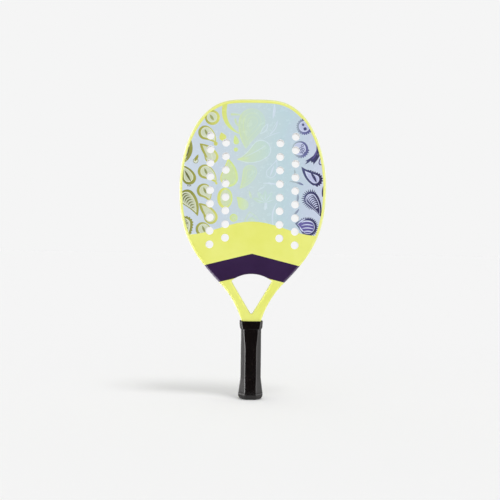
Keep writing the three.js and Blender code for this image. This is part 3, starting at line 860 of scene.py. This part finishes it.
def eight_sided(half_width, half_depth, bevel, corner, height):
    """One ring of an eight-sided section, its corners rounded"""
    flat_x, flat_y = half_width - bevel, half_depth - bevel
    quarter = [(half_width, flat_y), (flat_x, half_depth)]
    half = quarter + [(-x, y) for x, y in reversed(quarter)]
    points = [Vector(point) for point in [(half_width, -flat_y), *half, *[(-x, -y) for x, y in half[:-1]]]]
    found = []
    reach = corner * math.tan(math.pi / 8)
    for i, point in enumerate(points):
        start = point + (points[i - 1] - point).normalized() * reach
        end = point + (points[(i + 1) % 8] - point).normalized() * reach
        for share in shares(CORNER_STEPS):
            place, _ = curve_point(start, point, end, share)
            found.append(place.to_3d() + Vector((0, 0, height)))
    return found


def flat_ring(like, radius, height):
    """A round ring whose points lie at the same angles as another ring's"""
    turns = [math.atan2(point.y, point.x) for point in like]
    return [Vector((*(unit(turn) * radius), height)) for turn in turns]


def closed_ends(mesh, rows):
    mesh.faces.new(list(reversed(rows[0])))
    mesh.faces.new(rows[-1])


def keyed(table, key):
    """Sizes between the rows of a table in millimetres, each row led by its key"""
    key = max(key, table[0][0])
    for lower, upper in zip(table, table[1:]):
        if key <= upper[0]:
            share = (key - lower[0]) / (upper[0] - lower[0])
            return [mix(a, b, share) * MM for a, b in zip(lower[1:], upper[1:])]
    return [value * MM for value in table[-1][1:]]


def sleeve(name, material, steps, low, high, section_at, wall_at):
    """A sleeve of eight-sided sections, open at both ends, each section and wall given by its share"""
    outer, inner = [], []
    for share in shares(steps):
        height = mix(low, high, share)
        half_width, half_depth, bevel, corner = section_at(share)
        wall = wall_at(share)
        outer.append(eight_sided(half_width, half_depth, bevel, corner, height))
        inner.append(eight_sided(half_width - wall, half_depth - wall, bevel - wall / 2, corner, height))
    mesh = bmesh.new()
    add_strip(mesh, outer + list(reversed(inner)) + outer[:1])
    return joined(name, mesh, [material], SLEEVE_SHARP_ANGLE)


GRIP_STEPS = 70
GRIP_WALL = 1.2 * MM

# Height, half width, half depth, bevel and corner radius
GRIP_PROFILE = [
    (10.3, 19.4, 17.2, 10.5, 2.6),
    (12.6, 19.2, 17.1, 10.4, 2.6),
    (19.0, 18.4, 16.3, 9.7, 2.4),
    (25.4, 17.5, 15.4, 8.7, 2.5),
    (31.8, 16.75, 14.5, 7.8, 2.4),
    (35.0, 16.4, 14.2, 7.4, 2.4),
    (82.0, 16.4, 14.2, 7.4, 2.4),
    (90.0, 16.35, 14.2, 6.7, 2.4),
    (97.0, 16.3, 14.2, 5.9, 2.4),
    (105.0, 16.3, 14.2, 5.2, 2.4),
    (112.0, 16.3, 14.2, 5.1, 2.4),
    (113.0, 15.6, 13.6, 4.6, 2.2),
    (117.0, 15.6, 13.6, 4.6, 2.2),
]


def grip_section(share):
    return keyed(GRIP_PROFILE, mix(grip_low.z, grip_high.z, share) / MM)


def grip_wall(share):
    return GRIP_WALL


COLLAR_STEPS = 40
COLLAR_LIP_WALL = 0.4 * MM
COLLAR_TOP_WALL = 1.2 * MM
COLLAR_LIP_SHARE = 0.2

# The same sizes by the share of the collar's rise
COLLAR_PROFILE = [
    (0.00, 15.9, 14.0, 4.2, 2.0),
    (0.03, 16.6, 14.7, 3.8, 2.2),
    (0.08, 17.1, 14.9, 3.8, 2.2),
    (0.23, 18.0, 14.6, 4.2, 2.2),
    (0.46, 18.4, 13.8, 4.1, 2.2),
    (0.77, 18.7, 12.8, 3.8, 2.2),
    (0.93, 18.7, 12.4, 3.7, 2.2),
    (0.98, 18.5, 12.0, 3.5, 2.1),
    (1.00, 18.2, 11.5, 3.3, 2.0),
]


def collar_section(share):
    return keyed(COLLAR_PROFILE, share)


def collar_wall(share):
    return mix(COLLAR_LIP_WALL, COLLAR_TOP_WALL, smooth_share(share, COLLAR_LIP_SHARE, 1))


BUTT_WALL = 2 * MM
BORE_GAP = 0.5 * MM
BORE_BEVEL = 6 * MM
BUTT_PROFILE = [
    (0.0, 11.4, 11.4, 5.0, 2.6),
    (0.3, 13.6, 13.6, 5.8, 2.6),
    (1.1, 15.8, 15.4, 7.2, 2.6),
    (2.4, 17.6, 16.6, 8.4, 2.6),
    (4.2, 18.9, 17.3, 9.6, 2.6),
    (6.2, 19.6, 17.5, 10.3, 2.6),
    (8.0, 19.8, 17.6, 10.6, 2.6),
    (9.6, 19.6, 17.4, 10.5, 2.6),
    (10.0, 19.2, 17.0, 10.3, 2.6),
]


def butt_end(plastic):
    """The cap over the handle's end: rounded below, with a recess for its disc and a cup inside"""
    rows = [eight_sided(*keyed(BUTT_PROFILE, row[0]), row[0] * MM) for row in BUTT_PROFILE]
    half_width, half_depth, bevel, corner = keyed(BUTT_PROFILE, BUTT_PROFILE[-1][0])
    neck_size = half_width - BUTT_WALL, half_depth - BUTT_WALL, bevel - BUTT_WALL / 2, corner
    neck = [eight_sided(*neck_size, height) for height in (rows[-1][0].z, cap_high.z)]
    bore_size = pallet_high.x + BORE_GAP, -pallet_low.y + BORE_GAP, BORE_BEVEL, corner
    bore = [eight_sided(*bore_size, height) for height in (cap_high.z, pallet_low.z)]
    radius = disc_high.x + BOND_LINE
    recess = [flat_ring(rows[0], radius, height) for height in (disc_high.z + BOND_LINE, 0)]
    mesh = bmesh.new()
    made = add_strip(mesh, recess + rows + neck + bore)
    closed_ends(mesh, made)
    return joined("butt_end", mesh, [plastic], SLEEVE_SHARP_ANGLE)


# Materials
def linear(value):
    """The light of one byte of screen colour"""
    value /= 255
    return value / 12.92 if value <= 0.04045 else ((value + 0.055) / 1.055) ** 2.4


def colour(red, green, blue):
    return (linear(red), linear(green), linear(blue), 1)


class Nodes:
    """Nodes of one tree, made and wired by short calls"""

    def __init__(self, tree):
        self.tree = tree

    def node(self, kind, *values, **settings):
        """A new node whose first inputs take these values"""
        node = self.tree.nodes.new("ShaderNode" + kind)
        for key, value in settings.items():
            setattr(node, key, value)
        for socket, value in zip(node.inputs, values):
            self.plug(socket, value)
        return node

    def plug(self, socket, value):
        if isinstance(value, bpy.types.NodeSocket):
            self.tree.links.new(value, socket)
        else:
            socket.default_value = value

    def math(self, operation, *values):
        return self.node("Math", *values, operation=operation).outputs[0]

    def between(self, value, *spans, curve="LINEAR"):
        """The value moved from one span, its low and high, to another"""
        return self.node("MapRange", value, *spans, interpolation_type=curve).outputs["Result"]

    def faded(self, value, low, high, out_low, out_high):
        return self.between(value, low, high, out_low, out_high, curve="SMOOTHSTEP")

    def axes(self, place):
        return self.node("SeparateXYZ", place).outputs


NOISE_ROUGHNESS = 0.55
NOISE_SPAN = (0.3, 0.7)


class Paint(Nodes):
    """The nodes of one material"""

    def __init__(self, name, base, roughness, specular=0.5):
        self.material = bpy.data.materials.new(name)
        self.material.use_nodes = True
        super().__init__(self.material.node_tree)
        self.sockets = self.tree.nodes["Principled BSDF"].inputs
        self.give("Base Color", base)
        self.give("Roughness", roughness)
        self.give("Specular IOR Level", specular)
        self.place = self.node("TexCoord").outputs["Object"]

    def give(self, socket, value):
        self.plug(self.sockets[socket], value)

    def noise(self, scale, detail=3.0):
        return self.node("TexNoise", self.place, 0, scale, detail, NOISE_ROUGHNESS).outputs["Fac"]

    def mottle(self, scale, low=0.0, high=1.0, detail=3.0):
        """A value that wanders from low to high"""
        return self.between(self.noise(scale, detail), *NOISE_SPAN, low, high)

    def cells(self, scale):
        return self.node("TexVoronoi", self.place, 0, scale).outputs["Distance"]

    def blend(self, share, first, second):
        node = self.node("Mix", share, data_type="RGBA")
        self.plug(node.inputs[6], first)
        self.plug(node.inputs[7], second)
        return node.outputs[2]

    def ramp(self, share, stops):
        node = self.node("ValToRGB", share)
        elements = node.color_ramp.elements
        while len(elements) < len(stops):
            elements.new(1.0)
        for element, (position, shade) in zip(elements, stops):
            element.position = position
            element.color = colour(*shade)
        return node.outputs["Color"]

    def bump(self, height, strength, distance):
        node = self.node("Bump")
        node.inputs["Strength"].default_value = strength
        node.inputs["Distance"].default_value = distance
        self.plug(node.inputs["Height"], height)
        self.give("Normal", node.outputs["Normal"])


# Purple chevron: two parallel lines that fall away from the middle at the same slope
CHEVRON_TOP = 232.9 * MM
CHEVRON_BOTTOM = 200.1 * MM
CHEVRON_SLOPE = 0.25
YELLOW = (231, 235, 126)
YELLOW_TONES = (229, 232, 112), (233, 236, 126)
PURPLE_TONES = (48, 25, 65), (53, 30, 72)
# Painted sheen and shade: the rim's outer sides above the band take this paler, duller yellow, which fades
# out within this reach of each face
RIM_SHEEN_TONE = (224, 228, 148)
RIM_SHEEN_REACH = 0.8 * MM


def lacquer():
    """Yellow lacquer with the chevron, a faint mottle, the slight ripple of a sprayed coat, and a painted
    sheen and shade that turn the rim's outer sides paler and duller above the band
    """
    paint = Paint("yellow_and_purple_lacquer", colour(*YELLOW), 0.3, specular=0.3)
    x, y, z = paint.axes(paint.place)
    raised = paint.math("MULTIPLY_ADD", paint.math("ABSOLUTE", x), CHEVRON_SLOPE, z)
    inside = paint.math(
        "MULTIPLY",
        paint.math("LESS_THAN", raised, CHEVRON_TOP),
        paint.math("GREATER_THAN", raised, CHEVRON_BOTTOM),
    )
    mottle = paint.between(paint.noise(26), 0.35, 0.65, 0.0, 1.0)
    yellow, purple = [
        paint.blend(mottle, colour(*dark), colour(*light)) for dark, light in (YELLOW_TONES, PURPLE_TONES)
    ]
    # Painted sheen and shade on the rim: above the band its rounded outer sides turn paler and a little
    # duller, standing in for light on the rounding
    edge = paint.between(paint.math("ABSOLUTE", y), head_half_depth - RIM_SHEEN_REACH, head_half_depth, 1.0, 0.0)
    painted_rim_sheen = paint.math("MULTIPLY", edge, paint.between(z, CHEVRON_TOP, BAND_TOP, 0.0, 1.0))
    yellow = paint.blend(painted_rim_sheen, yellow, colour(*RIM_SHEEN_TONE))
    paint.give("Base Color", paint.blend(inside, yellow, purple))
    paint.give("Roughness", paint.between(paint.noise(90), 0.1, 0.9, 0.28, 0.32))
    paint.bump(paint.noise(420, detail=1.0), 0.04, 0.0002)
    return paint.material


# Print colours from the left side of the head to its right, as shares of its width
PRINT_COLOURS = [
    ("ground", 0.04, [
        (0.00, (208, 218, 231)), (0.25, (200, 213, 226)), (0.50, (198, 216, 218)), (0.72, (190, 213, 221)),
        (0.88, (196, 208, 226)), (1.00, (204, 210, 232)),
    ]),
    ("ink", 0.015, [
        (0.05, (140, 144, 66)), (0.18, (176, 178, 86)), (0.28, (220, 224, 118)), (0.36, (214, 233, 140)),
        (0.46, (205, 225, 196)), (0.66, (196, 218, 220)), (0.78, (166, 182, 190)), (0.84, (108, 112, 162)),
        (0.97, (66, 58, 102)),
    ]),
    ("tint", 0.03, [
        (0.05, (198, 204, 176)), (0.25, (210, 218, 192)), (0.36, (206, 224, 172)), (0.46, (200, 221, 200)),
        (0.60, (194, 218, 216)), (0.84, (190, 196, 228)), (1.00, (182, 182, 220)),
    ]),
    ("seed", 0.015, [
        (0.05, (104, 108, 58)), (0.22, (160, 168, 104)), (0.40, (196, 214, 160)), (0.70, (156, 174, 186)),
        (0.84, (78, 82, 126)), (0.97, (56, 50, 88)),
    ]),
    ("pale", 0.02, [
        (0.05, (222, 226, 208)), (0.30, (214, 226, 200)), (0.50, (210, 229, 230)), (0.80, (206, 216, 240)),
        (1.00, (204, 208, 238)),
    ]),
    ("violet", 0.02, [(0.80, (108, 102, 168)), (1.00, (88, 78, 140))]),
]


def print_paint(name, stops, spread):
    """A print colour that changes across the head, the same way round on both faces"""
    paint = Paint(name, colour(*stops[len(stops) // 2][1]), 0.42)
    x, y, z = paint.axes(paint.place)
    facing = paint.math("SIGN", paint.math("MULTIPLY", y, -1.0))
    across = paint.math("MULTIPLY", x, facing)
    share = paint.between(across, -head_half_width, head_half_width, 0.0, 1.0)
    drift = paint.mottle(34, -spread, spread, detail=2.0)
    paint.give("Base Color", paint.ramp(paint.math("ADD", share, drift), stops))
    paint.give("Roughness", paint.mottle(120, 0.2, 0.3))
    weave(paint, x, z)
    return paint.material


WEAVE_PITCH = 1.3 * MM


def weave(paint, x, z):
    """The faint relief of the laminate's crossing strands under the print"""
    turn = 2 * math.pi / WEAVE_PITCH
    waves = []
    for operation in ("ADD", "SUBTRACT"):
        run = paint.math("MULTIPLY", paint.math(operation, x, z), turn / math.sqrt(2))
        waves.append(paint.math("SINE", run))
    paint.bump(paint.math("MULTIPLY", *waves), 0.06, 0.0001)


def finish(name, base, roughness, tones=None, gloss=None, relief=None, specular=0.5):
    """A plain material: a mottle of two tones, a gloss that wanders between two values, and a relief"""
    paint = Paint(name, colour(*base), roughness, specular)
    if tones:
        scale, dark, light = tones
        paint.give("Base Color", paint.blend(paint.mottle(scale), colour(*dark), colour(*light)))
    if gloss:
        paint.give("Roughness", paint.mottle(*gloss))
    if relief:
        scale, detail, strength, distance = relief
        paint.bump(paint.noise(scale, detail), strength, distance)
    return paint


# Scale of a mottle, and its two tones
FOAM_TONES = (300, (251, 250, 249), (254, 254, 253))
GRIP_TONES = (60, (12, 7, 7), (18, 12, 12))
COLLAR_TONES = (80, (12, 7, 6), (17, 11, 10))
CAP_TONES = (70, (12, 7, 7), (18, 12, 12))
PALLET_TONES = (180, (134, 130, 119), (151, 147, 138))


def foam():
    paint = finish("white_eva_foam", (253, 252, 251), 0.9, FOAM_TONES, specular=0)
    paint.bump(paint.cells(1400), 0.25, 0.0001)
    return paint.material


def grip_cover():
    paint = finish("black_grip_cover", (15, 10, 10), 0.24, GRIP_TONES, (700, 0.2, 0.28, 4.0))
    height = paint.math("MULTIPLY_ADD", paint.cells(1100), 0.6, paint.noise(700, 4.0))
    paint.bump(height, 0.06, 0.0001)
    return paint.material


collar_paint = finish(
    "black_collar_rubber", (14, 9, 8), 0.22, COLLAR_TONES, (500, 0.18, 0.26), (900, 2.0, 0.08, 0.0001)
)
cap_paint = finish(
    "black_cap_plastic", (17, 13, 14), 0.4, CAP_TONES, (1500, 0.22, 0.34, 2.0), (1500, 2.0, 0.08, 0.0001)
)
pallet_paint = finish("handle_foam", (142, 138, 128), 0.85, PALLET_TONES, None, (1200, 3.0, 0.3, 0.0002))
tape_paint = finish("black_vinyl_tape", (38, 36, 37), 0.45, None, (160, 0.38, 0.52), (260, 3.0, 0.1, 0.0002))
steel_paint = finish("staple_wire", (185, 188, 192), 0.3, None, (900, 0.22, 0.4))
steel_paint.give("Metallic", 1.0)


# Head, faces and core
def put(piece, slot, *nodes):
    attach(piece, "root")
    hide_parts(*nodes)
    return piece


lacquer_material = lacquer()
drawn_print()
print_materials = [print_paint("print_" + name, stops, spread) for name, spread, stops in PRINT_COLOURS]
print_materials.append(lacquer_material)
foam_material = foam()

put(head_shell(lacquer_material), "frame_lacquer", "frame_tube", "throat_bridge")

for side, face_name, node_name in ((-1, "front_print", "front_face"), (1, "back_print", "back_face")):
    layers = face_layers(side)
    tones = [tone for _, tone in layers]
    panel = drilled_slab(
        face_name,
        skin_loop,
        side * head_half_depth,
        side * seat_depth,
        HOLE_EDGE,
        print_materials + [foam_material],
        layers,
        lambda layer: tones[layer] if layer >= 0 else PAINT,
        wall_slot=len(print_materials),
    )
    put(panel, "printed_face", node_name)

core = drilled_slab("foam_core", core_loop, -seat_depth, seat_depth, 0, [foam_material])
put(core, "core_foam", "eva_core")

# Handle
grip = sleeve("grip_sleeve", grip_cover(), GRIP_STEPS, grip_low.z, grip_high.z, grip_section, grip_wall)
put(grip, "grip_cover", "cushion_grip")
rubber = collar_paint.material
ends = collar_bottom, collar_top
collar = sleeve("grip_collar_sleeve", rubber, COLLAR_STEPS, *ends, collar_section, collar_wall)
put(collar, "collar_rubber", "grip_collar")
put(butt_end(cap_paint.material), "cap_plastic", "butt_cap")

# CAD pieces that keep their shape
kept = {
    "butt_disc": cap_paint,
    "pallet_front": pallet_paint,
    "pallet_back": pallet_paint,
    "finishing_tape": tape_paint,
    "staple_right": steel_paint,
    "staple_left": steel_paint,
}
for name, paint in kept.items():
    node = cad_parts[name]
    node.data.materials.clear()
    node.data.materials.append(paint.material)

# Camera: level, in front of the racket, turned by the lean that the photograph shows
PHOTO_WIDTH = 500
FOCAL_PIXELS = 870
SENSOR_WIDTH = 36
CAMERA_DISTANCE = 1.4
CAMERA_HEIGHT = 238.8 * MM
CAMERA_ACROSS = -3.2 * MM
CAMERA_ROLL = math.radians(0.68)
CAMERA_REACH = 200

camera_data = bpy.data.cameras.new("camera")
camera_data.sensor_width = SENSOR_WIDTH
camera_data.lens = FOCAL_PIXELS / PHOTO_WIDTH * SENSOR_WIDTH
camera_data.clip_end = CAMERA_REACH
camera = linked("camera", camera_data)
camera.matrix_world = (
    Matrix.Translation((CAMERA_ACROSS, -CAMERA_DISTANCE, CAMERA_HEIGHT))
    @ Matrix.Rotation(-CAMERA_ROLL, 4, "Y")
    @ Matrix.Rotation(math.pi / 2, 4, "X")
)
bpy.context.scene.camera = camera

# Floor, world and lamps
BACKGROUND = 245
HORIZON_LIGHT = 1.53
ZENITH_LIGHT = 0.4
LEFT_EXTRA = 0.1
WALL_LIGHT = 0.02
SIDE_LIGHT = 1.7
LEFT_STRIP = 9.0
RIGHT_STRIP = 3.2
FLOOR_SHADE = 0.85
FLOOR_SIZE = 60

# Spans of a direction's parts in which the mirrored lamps and walls come and go
LAMP_DEPTHS = (0.1, 0.3)
LAMP_SIDES = (0.5, 0.75)
LAMP_BALANCE = (-0.3, 0.3)
LAMP_TOPS = (0.3, 0.8)
LAMP_TOP_SHARE = 0.15
WALL_DEPTHS = (0.35, 0.9)
FLOOR_LAMPS = (-0.65, -0.45)


def background_ray(nodes):
    """1 for rays that should see the plain background: straight, mirrored or let through"""
    path = nodes.node("LightPath").outputs
    straight = nodes.math("MAXIMUM", path["Is Camera Ray"], path["Is Transmission Ray"])
    return nodes.math("MAXIMUM", straight, path["Is Glossy Ray"])


def mirrored_studio(nodes, direction, side_light):
    """How bright mirrored rays see the studio: dark end walls in front and behind, pale sides"""
    axes = nodes.axes(direction)
    deep, across = nodes.math("ABSOLUTE", axes["Y"]), nodes.math("ABSOLUTE", axes["X"])
    corners = nodes.faded(deep, *LAMP_DEPTHS, 0, 1), nodes.faded(across, *LAMP_SIDES, 0, 1)
    balance = nodes.faded(axes["X"], *LAMP_BALANCE, LEFT_STRIP, RIGHT_STRIP)
    walls = nodes.faded(deep, *WALL_DEPTHS, side_light, WALL_LIGHT)
    return axes, walls, nodes.math("MULTIPLY", nodes.math("MULTIPLY", *corners), balance)


def for_mirrored_rays(nodes, amount):
    """The amount where a mirrored ray asks, and 1 for every other ray"""
    glossy = nodes.node("LightPath").outputs["Is Glossy Ray"]
    return nodes.math("MULTIPLY_ADD", glossy, nodes.math("SUBTRACT", amount, 1), 1)


def world_light():
    """Soft light, brighter from the sides than from above, with a tall lamp at each front corner"""
    world = bpy.data.worlds.new("studio")
    world.use_nodes = True
    nodes = Nodes(world.node_tree)
    sky = nodes.tree.nodes["Background"].inputs
    axes, walls, lamps = mirrored_studio(nodes, nodes.node("TexCoord").outputs["Generated"], SIDE_LIGHT)
    low = nodes.faded(axes["Z"], *LAMP_TOPS, 1, LAMP_TOP_SHARE)
    amount = nodes.math("MULTIPLY", nodes.math("ADD", walls, lamps), low)
    nodes.plug(sky["Strength"], for_mirrored_rays(nodes, amount))
    tilt = nodes.math("MULTIPLY_ADD", axes["X"], -LEFT_EXTRA, HORIZON_LIGHT)
    room = nodes.math("MULTIPLY_ADD", axes["Z"], ZENITH_LIGHT - HORIZON_LIGHT, tilt)
    mixer = nodes.node("Mix", background_ray(nodes), data_type="RGBA")
    nodes.plug(mixer.inputs[6], room)
    nodes.plug(mixer.inputs[7], colour(BACKGROUND, BACKGROUND, BACKGROUND))
    nodes.plug(sky["Color"], mixer.outputs[2])
    bpy.context.scene.world = world


KEY_ELEVATION = math.radians(67)
KEY_AZIMUTH = math.radians(-50)
KEY_SIZE = math.radians(18)
KEY_STRENGTH = 0.85
ROOM_ON_FLOOR = (HORIZON_LIGHT + 2 * ZENITH_LIGHT) / 3
FLOOR_LIGHT = ROOM_ON_FLOOR + KEY_STRENGTH * math.sin(KEY_ELEVATION) / math.pi


def floor_plane():
    data = bpy.data.meshes.new("floor")
    mesh = bmesh.new()
    bmesh.ops.create_grid(mesh, x_segments=1, y_segments=1, size=FLOOR_SIZE)
    mesh.to_mesh(data)
    mesh.free()
    paint = Paint("pale_floor", colour(255, 255, 255), 1.0, specular=0.0)
    paint.give("Emission Color", (1, 1, 1, 1))
    place = paint.node("NewGeometry").outputs["Position"]
    from_racket = paint.node("VectorMath", place, (0, 0, collar_bottom), operation="SUBTRACT")
    direction = paint.node("VectorMath", from_racket.outputs[0], operation="NORMALIZE").outputs[0]
    axes, walls, lamps = mirrored_studio(paint, direction, 1)
    lamps = paint.math("MULTIPLY", lamps, paint.faded(axes["Z"], *FLOOR_LAMPS, 0, 1))
    share = for_mirrored_rays(paint, walls)
    lift = linear(BACKGROUND) - FLOOR_SHADE * FLOOR_LIGHT
    glow = paint.math("MULTIPLY", paint.math("MULTIPLY", background_ray(paint), lift), share)
    glossy = paint.node("LightPath").outputs["Is Glossy Ray"]
    paint.give("Emission Strength", paint.math("MULTIPLY_ADD", glossy, lamps, glow))
    paint.give("Base Color", paint.math("MULTIPLY", share, FLOOR_SHADE))
    data.materials.append(paint.material)
    linked("floor", data)


def key_light():
    """A soft sun from the right and the front, which casts the floor shadow"""
    data = bpy.data.lights.new("key", "SUN")
    data.energy = KEY_STRENGTH
    data.angle = KEY_SIZE
    lamp = linked("key", data)
    flat = math.cos(KEY_ELEVATION)
    direction = Vector((flat * math.cos(KEY_AZIMUTH), flat * math.sin(KEY_AZIMUTH), math.sin(KEY_ELEVATION)))
    lamp.rotation_mode = "QUATERNION"
    lamp.rotation_quaternion = direction.to_track_quat("Z", "Y")


world_light()
floor_plane()
key_light()

bpy.context.scene.view_settings.view_transform = "Standard"
